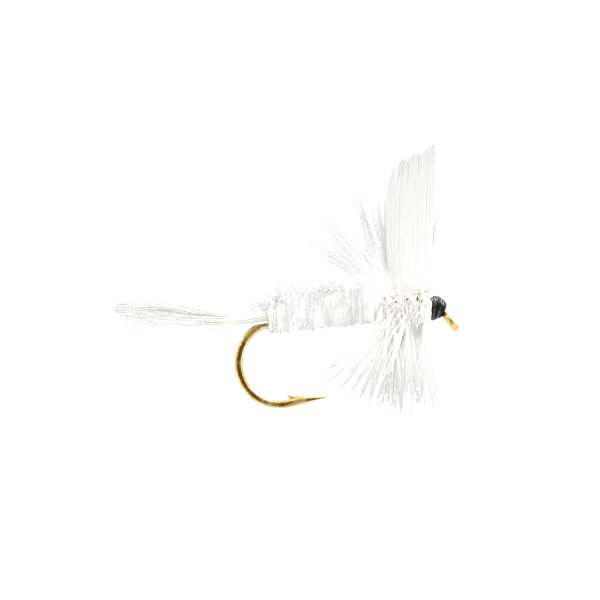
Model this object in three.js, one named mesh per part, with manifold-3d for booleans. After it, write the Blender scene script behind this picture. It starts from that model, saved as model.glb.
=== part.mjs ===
// A dry fly: a white, upright-winged mayfly pattern tied on a gold, down-eyed, light-wire hook of
// about size 10. Units are millimetres. The origin is the centre of the hook eye's hole.
// +X runs along the hook shank towards the eye, +Z points up through the wings, and +Y is its left side.

import * as THREE from "three";
import { mergeVertices } from "three/addons/utils/BufferGeometryUtils.js";
import Module from "manifold-3d";

const wasm = await Module();
wasm.setup();

// ---------------------------------------------------------------- driving dimensions

// Hook wire, shank and eye.
const WIRE_R = 0.31;
const EYE_WIRE_R = 0.25;
const EYE_RING_R = 0.61;
const EYE_DROP = THREE.MathUtils.degToRad(57);
const NECK_R = 1.34;
const SHANK_Z = NECK_R * (1 - Math.cos(EYE_DROP)) + EYE_RING_R * Math.sin(EYE_DROP);
const NECK_X = -EYE_RING_R * Math.cos(EYE_DROP) - NECK_R * Math.sin(EYE_DROP);

// Hook bend, point and barb.
const BEND_X = -12.83;
const BEND_R = 3.04;
const BEND_SQUASH = 0.97;
const BEND_END = THREE.MathUtils.degToRad(187);
const SPEAR_X = -11.4;
const POINT_X = -9.53;
const POINT_DIP = 0.2;
const POINT_TIP_R = 0.02;
const BARB_WIDTH = 0.2;
const BARB_FREE_TIP = [-12.6, -4.12];
const BARB_INNER_BOW = [-12.2, -4.42];
const BARB_FRONT = [-11.6, -4.5];
const BARB_FRONT_FOOT = [-11.75, -4.8];
const BARB_REAR_FOOT = [-12.25, -4.75];
const BARB_THROAT = [-12.35, -4.4];

// Thread, and the small gap left between touching pieces.
const THREAD_D = 0.08;
const BASE_R = 0.37;
const FIT = 0.025;
const SMALLEST_DETAIL = 0.003;

// Thread windings: from and to along their axis, then the size and centre of what they go round.
const TAIL_BINDING = { from: -13.06, to: -12.5, halfWidth: 0.6, halfHeight: 0.58, centre: 1.29 };
const BUTT_BINDING = { from: -5.2, to: -4.2, halfWidth: 0.62, halfHeight: 0.675, centre: 1.38 };
const FOOT_WRAPS = { from: -0.12, to: 0.12, halfWidth: 0.46, halfHeight: 0.56, centre: 0 };
const FOOT_WRAPS_X = -2.88;
const FOOT_WRAPS_Z = 2.34;

// Body: stations along the shank, each [x, centre height, outer radius].
const BODY = [
  [-13.4, 1.24, 0.95],
  [-12.6, 1.41, 1.04],
  [-10.5, 1.55, 1.16],
  [-8.0, 1.7, 1.29],
  [-5.7, 1.72, 1.3],
];
const YARN_WIDTH = 0.56;
const YARN_DEPTH = 0.28;
const YARN_PITCH = 0.6;

// The floss saddle under the yarn, and the room it leaves for the shank and the tail's butts.
const SADDLE_X = [-12.3, -11.4, -10.5, -9.2, -8.0, -7.2, -6.5];
const SADDLE_ROOM_R = 0.4;

// Loose, curly wool fibres along the back.
const FUZZ_R = 0.035;
const BACK_CURLS = [
  { startX: -14.4, length: 1.15, loop: 0.28, side: 0.0, loops: 3 },
  { startX: -13.3, length: 1.9, loop: 0.46, side: -0.35, loops: 3 },
  { startX: -12.5, length: 2.1, loop: 0.5, side: 0.32, loops: 4 },
  { startX: -10.9, length: 2.2, loop: 0.4, side: -0.25, loops: 4 },
  { startX: -9.4, length: 2.6, loop: 0.28, side: 0.28, loops: 5 },
];

// Thorax: where it starts under the last turns of yarn, its shoulder at the body's front end, as stations
// [x, centre height, radius], and the waist that runs on from there to the head.
const THORAX_REAR_X = -6.3;
const SHOULDER = [
  [THORAX_REAR_X, 1.68, 0.94],
  [-5.5, 1.68, 0.98],
  [-5.38, 1.68, 1.12],
  [-5.21, 1.58, 1.06],
  [-5.03, 1.45, 0.95],
];
const WAIST_X = -4.86;
const THORAX_Z = 1.38;
const THORAX_R = 0.92;
const THORAX_FRONT_X = -1.54;
const THORAX_DROP = 0.12;
const THORAX_TAPER = 0.1;

// Room inside the thorax: under the yarn it's open below, round the butt binding it's an oval
// [half width, half height], and round the wings' feet it's a slot.
const OPEN_REAR_X = -5.44;
const OPEN_REAR_R = 0.52;
const BINDING_ROOM = [0.76, 0.8];
const FOOT_SLOT = { rearX: -3.5, frontX: -2.36, topZ: 3.1 };

// Hackle.
const STEM_R = 0.09;
const STEM_COIL_R = THORAX_R + STEM_R + FIT;
const STEM_PITCH = 0.4;
const FEATHER_OFFSET = 0.2;
const REAR_COIL_X = -4.64;
const FRONT_COIL_X = -2.08;
const REAR_TURNS = 2;
const ALL_TURNS = 4;
const BARBS_PER_TURN = 11;
const BARB_LENGTH = 7.1;
const BARB_ROOT_R = 0.07;
const BARB_TIP_R = 0.02;

// Shares of a turn on each side of the top that have no barbs, beside and ahead of the wings.
const BARE_BEHIND = 0.06;
const BARE_IN_FRONT = 0.17;

// How far back a barb leans in degrees, at least and at most, at a number of turns from the hackle's rear.
const BARB_SWEEP = [
  [0, 18, 50],
  [1, 12, 42],
  [2, 8, 26],
  [3, 0, 14],
  [4, -6, 6],
];

// The foremost barb stands up in front of the wings.
const FRONT_BARB_LENGTH = 5.9;
const FRONT_BARB_SWEEP = -13;

// Wings: heights with the rear and front edge of a slip at each.
const WING_EDGES = [
  [2.2, -3.3, -2.45],
  [2.48, -3.35, -2.35],
  [2.62, -3.5, -1.7],
  [2.8, -3.65, -1.25],
  [3.3, -3.95, -1.14],
  [4.2, -4.22, -1.02],
  [6.4, -4.15, -0.72],
  [9.3, -3.88, -0.36],
  [11.0, -3.45, -0.14],
  [13.1, -3.1, 0.05],
];

// The tip heights of a slip's bands of fibres, from its rear edge to its front edge.
const RIGHT_TIPS = [10.9, 11.65, 12.1, 12.12, 12.35, 12.5, 12.6, 12.85, 13.08];
const LEFT_TIPS = [8.5, 9.4, 9.4, 9.95, 10.7, 11.5, 11.9, 12.2, 12.4];
const LEFT_LEAN = 0.09;
const WING_THICK = 0.1;
const WING_SPREAD = 1.25;
const WING_CUP = 0.16;

// A slip's butt: its rear end, middle and front corner along the shank, then its top and size.
const BUTT_END_X = -6.1;
const BUTT_MIDDLE_X = -4.8;
const BUTT_CORNER_X = -3.5;
const BUTT_TOP_Z = 1.98;
const BUTT_DEPTH = 0.4;
const BUTT_HALF_WIDTH = 0.28;

// Where a slip's rows of points lie, as shares of the way from its foot to its tips.
const SLIP_ROWS = [0, 0.025, 0.045, 0.065, 0.11, 0.19, 0.33, 0.5, 0.67, 0.84, 1];

// Tail: its fibres lie over the top of the shank in two layers, at these angles from the top.
const TAIL_FIBRE_R = 0.062;
const TAIL_TIP_R = 0.025;
const TAIL_BUTT_X = -12.4;
const TAIL_BEND_X = -13.6;
const TAIL_LAYERS = [
  { radius: 0.47, angles: [-80, -60, -40, -20, 0, 20, 40, 60, 80] },
  { radius: 0.61, angles: [-45, -27, -9, 9, 27, 45] },
];

// The free tail opens along stations [x, half width, middle height, half depth], slanted at its tips.
const TAIL_STATIONS = [
  [-17.0, 0.44, 1.56, 0.5],
  [-20.8, 0.68, 2.3, 0.93],
  [-24.2, 0.8, 2.66, 0.83],
];
const TAIL_SLANT = 0.55;

// The middle and half depth of the bundle where it leaves the shank.
const TAIL_ROOT_Z = 1.46;
const TAIL_ROOT_DEPTH = 0.28;

// Head.
const HEAD_REAR = [-1.5, 1.14];
const HEAD_MIDDLE = [-0.95, 1.13];
const HEAD_FRONT = [-0.36, 0.77];
const HEAD_RADII = [0.6, 0.71, 0.77, 0.76, 0.72, 0.63, 0.48];
const CEMENT = 0.04;

// ---------------------------------------------------------------- helpers

const V = (x, y, z) => new THREE.Vector3(x, y, z);
const lerp = THREE.MathUtils.lerp;
const seeded = (n) => THREE.MathUtils.seededRandom(n);

// Reads a table of [key, value, value, ...] rows at any key, straight between the rows.
function readTable(rows, key, column) {
  const last = rows.length - 1;
  if (key <= rows[0][0]) return rows[0][column];
  if (key >= rows[last][0]) return rows[last][column];
  const i = rows.findIndex((row) => row[0] > key) - 1;
  const share = (key - rows[i][0]) / (rows[i + 1][0] - rows[i][0]);
  return lerp(rows[i][column], rows[i + 1][column], share);
}

// Closed solid swept along points. radii holds a number or [across, along normal] at each point.
// normals may fix which way each section's second axis points; otherwise the section doesn't twist.
function sweep(points, radii, sides, normals) {
  const count = points.length;
  const tangents = points.map((p, i) => {
    const before = points[Math.max(i - 1, 0)];
    const after = points[Math.min(i + 1, count - 1)];
    return after.clone().sub(before).normalize();
  });
  const first = tangents[0];
  const side = Math.abs(first.z) < 0.9 ? V(0, 0, 1) : V(0, 1, 0);
  let normal = side.addScaledVector(first, -side.dot(first)).normalize();
  const position = [];
  points.forEach((p, i) => {
    if (normals) normal = normals[i].clone();
    normal.addScaledVector(tangents[i], -normal.dot(tangents[i])).normalize();
    const across = tangents[i].clone().cross(normal);
    const radius = Array.isArray(radii) ? radii[i] : radii;
    const [a, b] = Array.isArray(radius) ? radius : [radius, radius];
    for (let s = 0; s < sides; s++) {
      const angle = (2 * Math.PI * s) / sides;
      const v = p.clone();
      v.addScaledVector(across, a * Math.cos(angle));
      v.addScaledVector(normal, b * Math.sin(angle));
      position.push(v.x, v.y, v.z);
    }
  });
  const index = [];
  for (let i = 0; i < count - 1; i++) {
    for (let s = 0; s < sides; s++) {
      const a = i * sides + s;
      const b = i * sides + ((s + 1) % sides);
      index.push(a, b, b + sides, a, b + sides, a + sides);
    }
  }
  const end = (count - 1) * sides;
  for (let s = 1; s < sides - 1; s++) {
    index.push(0, s + 1, s);
    index.push(end, end + s, end + s + 1);
  }
  const geometry = new THREE.BufferGeometry();
  geometry.setAttribute("position", new THREE.Float32BufferAttribute(position, 3));
  geometry.setIndex(index);
  return geometry;
}

// A closed plate with one thickness per row: rows[i][j] are the middle points, and it is thick along Y.
function plate(rows, halfThickness) {
  const columns = rows[0].length;
  const count = rows.length * columns;
  const position = [];
  for (const side of [-1, 1]) {
    rows.forEach((row, i) => row.forEach((p) => position.push(p.x, p.y + side * halfThickness[i], p.z)));
  }
  const index = [];
  const quad = (a, b, c, d) => index.push(a, b, c, a, c, d);
  for (let i = 0; i < rows.length - 1; i++) {
    for (let j = 0; j < columns - 1; j++) {
      const a = i * columns + j;
      quad(a, a + 1, a + 1 + columns, a + columns);
      quad(count + a, count + a + columns, count + a + 1 + columns, count + a + 1);
    }
    const left = i * columns;
    const right = left + columns - 1;
    quad(left, left + columns, count + left + columns, count + left);
    quad(right, count + right, count + right + columns, right + columns);
  }
  const top = (rows.length - 1) * columns;
  for (let j = 0; j < columns - 1; j++) {
    quad(j, count + j, count + j + 1, j + 1);
    quad(top + j, top + j + 1, count + top + j + 1, count + top + j);
  }
  const geometry = new THREE.BufferGeometry();
  geometry.setAttribute("position", new THREE.Float32BufferAttribute(position, 3));
  geometry.setIndex(index);
  return geometry;
}

function toSolid(geometry) {
  const bare = geometry.clone();
  bare.deleteAttribute("normal");
  bare.deleteAttribute("uv");
  const merged = mergeVertices(bare, 1e-4);
  const vertProperties = new Float32Array(merged.attributes.position.array);
  const triVerts = new Uint32Array(merged.index.array);
  const solid = new wasm.Manifold(new wasm.Mesh({ numProp: 3, vertProperties, triVerts }));
  if (solid.volume() > 0) return solid;
  for (let i = 0; i < triVerts.length; i += 3) {
    [triVerts[i + 1], triVerts[i + 2]] = [triVerts[i + 2], triVerts[i + 1]];
  }
  return new wasm.Manifold(new wasm.Mesh({ numProp: 3, vertProperties, triVerts }));
}

function toGeometry(solid) {
  const mesh = solid.getMesh();
  const geometry = new THREE.BufferGeometry();
  geometry.setAttribute("position", new THREE.Float32BufferAttribute(mesh.vertProperties, 3));
  geometry.setIndex([...mesh.triVerts]);
  return geometry;
}

const fly = new THREE.Group();

const materials = {
  gold: new THREE.MeshStandardMaterial({ color: 0xc79a3a, roughness: 0.22, metalness: 1 }),
  thread: new THREE.MeshStandardMaterial({ color: 0xf3efe2, roughness: 0.6 }),
  blackThread: new THREE.MeshStandardMaterial({ color: 0x0b0b0d, roughness: 0.35 }),
  cement: new THREE.MeshStandardMaterial({ color: 0x1c1c20, roughness: 0.08 }),
  floss: new THREE.MeshStandardMaterial({ color: 0xf6f0e6, roughness: 0.55 }),
  yarn: new THREE.MeshStandardMaterial({ color: 0xf4f4f3, roughness: 0.9 }),
  quill: new THREE.MeshStandardMaterial({ color: 0xf5f4f1, roughness: 0.6 }),
  hackle: new THREE.MeshStandardMaterial({ color: 0xf0efec, roughness: 0.5 }),
  tail: new THREE.MeshStandardMaterial({ color: 0xf1f2ea, roughness: 0.5 }),
};

// Adds one named piece, from a geometry or from a manifold-3d solid.
function addPiece(name, shape, material) {
  const geometry = shape.isBufferGeometry ? toGeometry(toSolid(shape)) : toGeometry(shape);
  geometry.computeVertexNormals();
  const mesh = new THREE.Mesh(geometry, material);
  mesh.name = name;
  fly.add(mesh);
}

// ---------------------------------------------------------------- hook

// Point on the bend's centre line, from 0 at the shank, round the back, to BEND_END below.
function bendPoint(angle) {
  const x = BEND_X - BEND_SQUASH * BEND_R * Math.sin(angle);
  const z = SHANK_Z - BEND_R + BEND_R * Math.cos(angle);
  return V(x, 0, z);
}

function neckPoint(angle) {
  return V(NECK_X + NECK_R * Math.sin(angle), 0, SHANK_Z - NECK_R * (1 - Math.cos(angle)));
}

// The wire's centre line from the point, round the bend and along the shank to the eye ring.
function hookLine() {
  const points = [];
  const radii = [];
  const add = (p, r) => {
    points.push(p);
    radii.push(r);
  };
  const bendStart = bendPoint(BEND_END);
  const slope = Math.tan(BEND_END - Math.PI) / BEND_SQUASH;
  const spearTop = bendStart.z + slope * (SPEAR_X - bendStart.x) + WIRE_R;
  const spearSteps = 5;
  for (let i = 0; i <= spearSteps; i++) {
    const share = i / spearSteps;
    const r = lerp(POINT_TIP_R, WIRE_R, Math.pow(share, 0.8));
    add(V(lerp(POINT_X, SPEAR_X, share), 0, spearTop - POINT_DIP * (1 - share) - r), r);
  }
  const bendSteps = 20;
  for (let i = 0; i <= bendSteps; i++) {
    add(bendPoint(BEND_END * (1 - i / bendSteps)), WIRE_R);
  }
  const neckSteps = 6;
  for (let i = 0; i <= neckSteps; i++) {
    const share = i / neckSteps;
    add(neckPoint(EYE_DROP * share), lerp(WIRE_R, EYE_WIRE_R, share));
  }
  return { points, radii };
}

// The barb: a sliver raised from the wire's inner side, whose free tip points back from the hook's point.
function hookBarb() {
  const outline = new THREE.Shape();
  outline.moveTo(...BARB_FREE_TIP);
  outline.quadraticCurveTo(...BARB_INNER_BOW, ...BARB_FRONT);
  outline.lineTo(...BARB_FRONT_FOOT);
  outline.lineTo(...BARB_REAR_FOOT);
  outline.quadraticCurveTo(...BARB_THROAT, ...BARB_FREE_TIP);
  const settings = { depth: BARB_WIDTH, bevelEnabled: false, curveSegments: 4 };
  const geometry = new THREE.ExtrudeGeometry(outline, settings);
  geometry.translate(0, 0, -BARB_WIDTH / 2);
  geometry.rotateX(Math.PI / 2);
  return geometry;
}

const hookWire = hookLine();
const eyeRing = new THREE.TorusGeometry(EYE_RING_R, EYE_WIRE_R, 10, 24);
eyeRing.rotateY(EYE_DROP);
const wireSolid = toSolid(sweep(hookWire.points, hookWire.radii, 12));
addPiece("hook", wireSolid.add(toSolid(eyeRing)).add(toSolid(hookBarb())), materials.gold);

// The shank and the neck with some room round them, to cut out of what is wound over them.
const neckShares = [0, 0.25, 0.5, 0.75, 1];
const neckLine = [V(BEND_X - WIRE_R, 0, SHANK_Z), ...neckShares.map((share) => neckPoint(EYE_DROP * share))];
const wireRoom = toSolid(sweep(neckLine, WIRE_R + FIT, 16));

// ---------------------------------------------------------------- thread foundation and bindings

// Side-by-side turns of thread round an oval on the X axis: a closed, scalloped sleeve.
function threadWraps({ from, to, halfWidth, halfHeight, centre }) {
  const sides = 14;
  const turns = Math.round((to - from) / THREAD_D);
  const step = (to - from) / turns;
  const outer = 1 + THREAD_D / halfHeight;
  const groove = 1 + (0.6 * THREAD_D) / halfHeight;
  const profile = [new THREE.Vector2(1, from)];
  for (let i = 0; i < turns; i++) {
    profile.push(new THREE.Vector2(groove, from + i * step));
    profile.push(new THREE.Vector2(outer, from + (i + 0.5) * step));
  }
  profile.push(new THREE.Vector2(groove, to));
  profile.push(new THREE.Vector2(1, to));
  profile.push(profile[0].clone());
  const geometry = new THREE.LatheGeometry(profile, sides);
  geometry.rotateZ(-Math.PI / 2);
  geometry.scale(1, halfWidth, halfHeight);
  geometry.translate(0, 0, centre);
  return geometry;
}

function footWraps() {
  const geometry = threadWraps(FOOT_WRAPS);
  geometry.rotateY(-Math.PI / 2);
  geometry.translate(FOOT_WRAPS_X, 0, FOOT_WRAPS_Z);
  return geometry;
}

// A straight sweep along the shank's axis.
const alongShank = (fromX, toX, r) => toSolid(sweep([V(fromX, 0, SHANK_Z), V(toX, 0, SHANK_Z)], r, 16));

const base = alongShank(BEND_X, HEAD_REAR[0] - 2 * FIT, BASE_R);
addPiece("thread_base", base.subtract(wireRoom), materials.thread);
addPiece("tail_binding", threadWraps(TAIL_BINDING), materials.thread);
addPiece("wing_butt_binding", threadWraps(BUTT_BINDING), materials.thread);
addPiece("wing_foot_wraps", footWraps(), materials.thread);

// ---------------------------------------------------------------- tail

// One fibre of the bundle. The fibres keep their order from side to side and top to bottom as it opens.
function tailFibre(radius, degrees) {
  const angle = THREE.MathUtils.degToRad(degrees);
  const y = radius * Math.sin(angle);
  const z = SHANK_Z + radius * Math.cos(angle);
  const up = (z - TAIL_ROOT_Z) / TAIL_ROOT_DEPTH;
  const out = y / TAIL_LAYERS[0].radius;
  const free = TAIL_STATIONS.map(([x, width, middle, depth]) => V(x, width * out, middle + depth * up));
  free.at(-1).x -= TAIL_SLANT * up;
  const path = new THREE.CatmullRomCurve3([V(TAIL_BUTT_X, y, z), V(TAIL_BEND_X, y, z + FIT), ...free]);
  const steps = 9;
  const radii = [];
  for (let i = 0; i <= steps; i++) radii.push(lerp(TAIL_FIBRE_R, TAIL_TIP_R, Math.pow(i / steps, 2)));
  return sweep(path.getPoints(steps), radii, 5);
}

let tailNumber = 0;
for (const layer of TAIL_LAYERS) {
  for (const degrees of layer.angles) {
    tailNumber += 1;
    const name = "tail_fibre_" + String(tailNumber).padStart(2, "0");
    addPiece(name, tailFibre(layer.radius, degrees), materials.tail);
  }
}

// ---------------------------------------------------------------- body

const bodyZ = (x) => readTable(BODY, x, 1);
const bodyR = (x) => readTable(BODY, x, 2);

// The floss saddle lies on top of the shank and gives the yarn its taper.
function bodyUnderlay() {
  const points = SADDLE_X.map((x) => V(x, 0, bodyZ(x)));
  const radii = SADDLE_X.map((x) => bodyR(x) - YARN_DEPTH - 3 * FIT);
  const room = alongShank(SADDLE_X[0] - 1, SADDLE_X.at(-1) + 1, SADDLE_ROOM_R);
  return toSolid(sweep(points, radii, 20)).subtract(room);
}

// One strand of wool yarn, wound from the tail to the thorax in touching turns.
function bodyYarn() {
  const startX = BODY[0][0];
  const endX = BODY.at(-1)[0];
  const turns = (endX - startX) / YARN_PITCH;
  const stepsPerTurn = 14;
  const steps = Math.round(turns * stepsPerTurn);
  const points = [];
  const normals = [];
  for (let i = 0; i <= steps; i++) {
    const angle = (2 * Math.PI * i) / stepsPerTurn;
    const x = lerp(startX, endX, i / steps);
    const r = bodyR(x) - YARN_DEPTH / 2;
    const radial = V(0, Math.sin(angle), Math.cos(angle));
    normals.push(radial);
    points.push(V(x, 0, bodyZ(x)).addScaledVector(radial, r));
  }
  return sweep(points, points.map(() => [YARN_WIDTH / 2, YARN_DEPTH / 2]), 6, normals);
}

addPiece("body_underlay", bodyUnderlay(), materials.floss);
addPiece("body_yarn", bodyYarn(), materials.yarn);

// One fibre that runs along the back in loops of uneven size.
function backCurl({ startX, length, loop, side, loops }, seed) {
  const stepsPerLoop = 7;
  const steps = loops * stepsPerLoop;
  const points = [];
  for (let i = 0; i <= steps; i++) {
    const angle = (2 * Math.PI * i) / stepsPerLoop - Math.PI / 2;
    const size = loop * (0.75 + 0.5 * seeded(seed + i));
    const x = startX + (length * i) / steps;
    const skin = bodyZ(x) + Math.sqrt(bodyR(x) ** 2 - side ** 2);
    const sway = size * Math.cos(angle);
    points.push(V(x + 0.6 * sway, side + 0.5 * sway, skin + 1.2 * loop + size * Math.sin(angle)));
  }
  return sweep(points, FUZZ_R, 3);
}

BACK_CURLS.forEach((curl, i) => addPiece("back_fuzz_" + (i + 1), backCurl(curl, 31 * i), materials.yarn));

// ---------------------------------------------------------------- wings

const edgeShare = (z, share) => lerp(readTable(WING_EDGES, z, 1), readTable(WING_EDGES, z, 2), share);

// One quill slip. Its fibres stand up, then turn at the foot and run back along the shank as the butt.
function wingSlip(side, lean, tips) {
  const foot = WING_EDGES[0][0];
  const fullHeight = WING_EDGES.at(-1)[0] - foot;
  const buttY = (side * (BUTT_HALF_WIDTH + FIT)) / 2;
  const buttHalf = (BUTT_HALF_WIDTH - FIT) / 2;
  const rows = [];
  const halfThickness = [];
  const addRow = (half, makePoint) => {
    rows.push(tips.map((tip, j) => makePoint(j / (tips.length - 1), tip)));
    halfThickness.push(half);
  };
  for (const x of [BUTT_END_X, BUTT_MIDDLE_X]) {
    addRow(buttHalf, (across) => V(x, buttY, BUTT_TOP_Z - BUTT_DEPTH * across));
  }
  for (const degrees of [90, 60, 30]) {
    const angle = THREE.MathUtils.degToRad(degrees);
    addRow(buttHalf, (across) => {
      const reach = edgeShare(foot, across) - BUTT_CORNER_X;
      const drop = foot - (BUTT_TOP_Z - BUTT_DEPTH * across);
      return V(BUTT_CORNER_X + reach * Math.cos(angle), buttY, foot - drop * Math.sin(angle));
    });
  }
  for (const share of SLIP_ROWS) {
    addRow(lerp(buttHalf, WING_THICK / 2, Math.min(1, share / 0.12)), (across, tip) => {
      const rise = (tip - foot) * share;
      const cup = WING_CUP * Math.sin(Math.PI * across) * Math.min(1, rise / 2);
      const outward = WING_SPREAD * Math.pow(rise / fullHeight, 1.25);
      return V(edgeShare(foot + rise, across) - lean * rise, buttY + side * (outward + cup), foot + rise);
    });
  }
  return plate(rows, halfThickness);
}

addPiece("wing_slip_right", wingSlip(-1, 0, RIGHT_TIPS), materials.quill);
addPiece("wing_slip_left", wingSlip(1, LEFT_LEAN, LEFT_TIPS), materials.quill);

// ---------------------------------------------------------------- thorax

// The slot for the wings: it runs forward along the shank over their butts, then up round their feet.
function wingSlot(rearX) {
  const top = BUTT_TOP_Z + FIT;
  const { rearX: footRear, frontX, topZ } = FOOT_SLOT;
  const outline = new THREE.Shape();
  outline.moveTo(rearX, SHANK_Z);
  outline.lineTo(frontX, SHANK_Z);
  outline.lineTo(frontX, topZ);
  outline.lineTo(footRear, topZ);
  outline.lineTo(footRear, top);
  outline.lineTo(rearX, top);
  outline.closePath();
  const width = 2 * (BUTT_HALF_WIDTH + 2 * FIT);
  const geometry = new THREE.ExtrudeGeometry(outline, { depth: width, bevelEnabled: false });
  geometry.translate(0, 0, -width / 2);
  geometry.rotateX(Math.PI / 2);
  return toSolid(geometry);
}

// A waisted bed of floss, with room for the shank, the bound butts and the wings' feet.
function thoraxFloss() {
  const waist = [WAIST_X, THORAX_Z, THORAX_R];
  const front = [THORAX_FRONT_X, THORAX_Z - THORAX_DROP, THORAX_R - THORAX_TAPER];
  const outline = [...SHOULDER, waist, front];
  const outer = sweep(outline.map(([x, z]) => V(x, 0, z)), outline.map(([, , r]) => r), 20);
  const { from, to, centre } = BUTT_BINDING;
  const bindingLine = [V(from - 2 * FIT, 0, centre), V(to + 2 * FIT, 0, centre)];
  const rearX = THORAX_REAR_X - 1;
  const rooms = [
    alongShank(rearX, 0, BASE_R + FIT),
    alongShank(rearX, OPEN_REAR_X, OPEN_REAR_R),
    toSolid(sweep(bindingLine, [BINDING_ROOM, BINDING_ROOM], 18)),
    wingSlot(rearX),
  ];
  return toSolid(outer).subtract(wasm.Manifold.union(rooms));
}

addPiece("thorax_floss", thoraxFloss(), materials.floss);

// ---------------------------------------------------------------- hackle

// Where along the shank a feather's stem is after some turns: it winds behind the wings, passes under
// them in one long slanting turn, and winds on in front of them.
function stemX(turn, offset) {
  const crossed = THREE.MathUtils.smoothstep(turn, REAR_TURNS, REAR_TURNS + 1);
  const rear = REAR_COIL_X + STEM_PITCH * Math.min(turn, REAR_TURNS);
  const front = FRONT_COIL_X + STEM_PITCH * Math.max(turn - REAR_TURNS - 1, 0);
  return offset + lerp(rear, front, crossed);
}

function stemPoint(turn, offset) {
  const angle = 2 * Math.PI * turn;
  const x = stemX(turn, offset);
  const forward = (x - BUTT_MIDDLE_X) / (THORAX_FRONT_X - BUTT_MIDDLE_X);
  const z = THORAX_Z - THORAX_DROP * forward;
  return V(x, -STEM_COIL_R * Math.sin(angle), z + STEM_COIL_R * Math.cos(angle));
}

// One barb: it leaves the stem straight out from the shank, then leans back towards the tail.
function barb(turn, offset, length, sweepDegrees) {
  const root = stemPoint(turn, offset);
  const angle = 2 * Math.PI * turn;
  const out = V(0, -Math.sin(angle), Math.cos(angle));
  const swept = THREE.MathUtils.degToRad(sweepDegrees);
  const tip = root.clone().addScaledVector(out, length * Math.cos(swept));
  tip.x -= length * Math.sin(swept);
  const middle = root.clone().lerp(tip, 0.45).addScaledVector(out, 0.2 * Math.abs(tip.x - root.x));
  root.addScaledVector(out, -STEM_R / 2);
  const path = new THREE.QuadraticBezierCurve3(root, middle, tip);
  return sweep(path.getPoints(2), [BARB_ROOT_R, (BARB_ROOT_R + BARB_TIP_R) / 2, BARB_TIP_R], 3);
}

// Whether a barb at this turn is left out, to keep the wings clear.
function isBare(turn) {
  const fromTop = Math.abs(turn - Math.round(turn));
  if (turn > REAR_TURNS + 0.5) return fromTop < BARE_IN_FRONT;
  return turn > REAR_TURNS - 0.5 && fromTop < BARE_BEHIND;
}

// A stem with its barbs. The two feathers' barbs stand at different angles, so they never cross.
function hackleFeather(offset, phase, seed) {
  const stepsPerTurn = 14;
  const points = [];
  for (let i = 0; i <= ALL_TURNS * stepsPerTurn; i++) points.push(stemPoint(i / stepsPerTurn, offset));
  let feather = toSolid(sweep(points, STEM_R, 5));
  for (let i = 0; i < ALL_TURNS * BARBS_PER_TURN; i++) {
    const turn = (i + phase + 0.15 * seeded(seed + 900 + i)) / BARBS_PER_TURN;
    if (isBare(turn)) continue;
    const length = BARB_LENGTH * (0.84 + 0.24 * seeded(seed + i));
    const [least, most] = [1, 2].map((column) => readTable(BARB_SWEEP, turn, column));
    feather = feather.add(toSolid(barb(turn, offset, length, lerp(least, most, seeded(seed + 500 + i)))));
  }
  return feather;
}

const frontBarb = toSolid(barb(ALL_TURNS, FEATHER_OFFSET, FRONT_BARB_LENGTH, FRONT_BARB_SWEEP));
const feathers = [hackleFeather(0, 0.1, 120), hackleFeather(FEATHER_OFFSET, 0.6, 205).add(frontBarb)];
feathers.forEach((feather, i) => {
  addPiece("hackle_feather_" + (i + 1), feather.simplify(SMALLEST_DETAIL), materials.hackle);
});

// ---------------------------------------------------------------- head

const headAxis = new THREE.QuadraticBezierCurve3(
  V(HEAD_REAR[0], 0, HEAD_REAR[1]),
  V(HEAD_MIDDLE[0], 0, HEAD_MIDDLE[1]),
  V(HEAD_FRONT[0], 0, HEAD_FRONT[1]),
);

// The head's barrel, grown by extra all over, without some of the stations at each end.
function headBarrel(extra, dropped) {
  const points = headAxis.getPoints(HEAD_RADII.length - 1);
  const radii = HEAD_RADII.map((r) => r + extra);
  const kept = [dropped, HEAD_RADII.length - dropped];
  return toSolid(sweep(points.slice(...kept), radii.slice(...kept), 16));
}

addPiece("head_thread", headBarrel(0, 0).subtract(wireRoom), materials.blackThread);
addPiece("head_cement", headBarrel(FIT + CEMENT, 1).subtract(headBarrel(FIT, 0)), materials.cement);

export default fly;
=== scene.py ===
"""The looks of a white quill-wing dry fly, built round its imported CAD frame. Blender 4.5.

Helpers work in millimetres in the row frame: the hook eye's hole is the origin, +X is forward along the
shank, +Z is up. Meshes are turned into metres when they become objects.
"""

import math

import bpy
import numpy as np
from mathutils import Matrix, Vector


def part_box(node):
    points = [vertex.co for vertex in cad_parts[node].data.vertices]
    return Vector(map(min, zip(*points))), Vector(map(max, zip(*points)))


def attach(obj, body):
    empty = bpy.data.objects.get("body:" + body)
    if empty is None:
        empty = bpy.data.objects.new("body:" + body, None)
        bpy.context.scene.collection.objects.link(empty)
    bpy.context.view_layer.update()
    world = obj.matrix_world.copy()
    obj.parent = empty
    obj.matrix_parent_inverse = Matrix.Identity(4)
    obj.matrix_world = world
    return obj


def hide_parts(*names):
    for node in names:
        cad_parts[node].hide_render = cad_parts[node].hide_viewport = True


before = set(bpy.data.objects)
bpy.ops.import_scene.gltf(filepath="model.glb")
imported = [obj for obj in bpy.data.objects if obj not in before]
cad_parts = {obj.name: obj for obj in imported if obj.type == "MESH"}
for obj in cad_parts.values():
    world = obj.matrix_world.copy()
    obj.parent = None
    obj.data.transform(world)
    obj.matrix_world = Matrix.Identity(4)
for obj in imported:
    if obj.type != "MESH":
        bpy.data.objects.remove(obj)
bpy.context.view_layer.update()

MM = 0.001
BODY = "root"
FORWARD = np.array([1.0, 0, 0])

# ------------ driving dimensions (mm)

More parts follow.
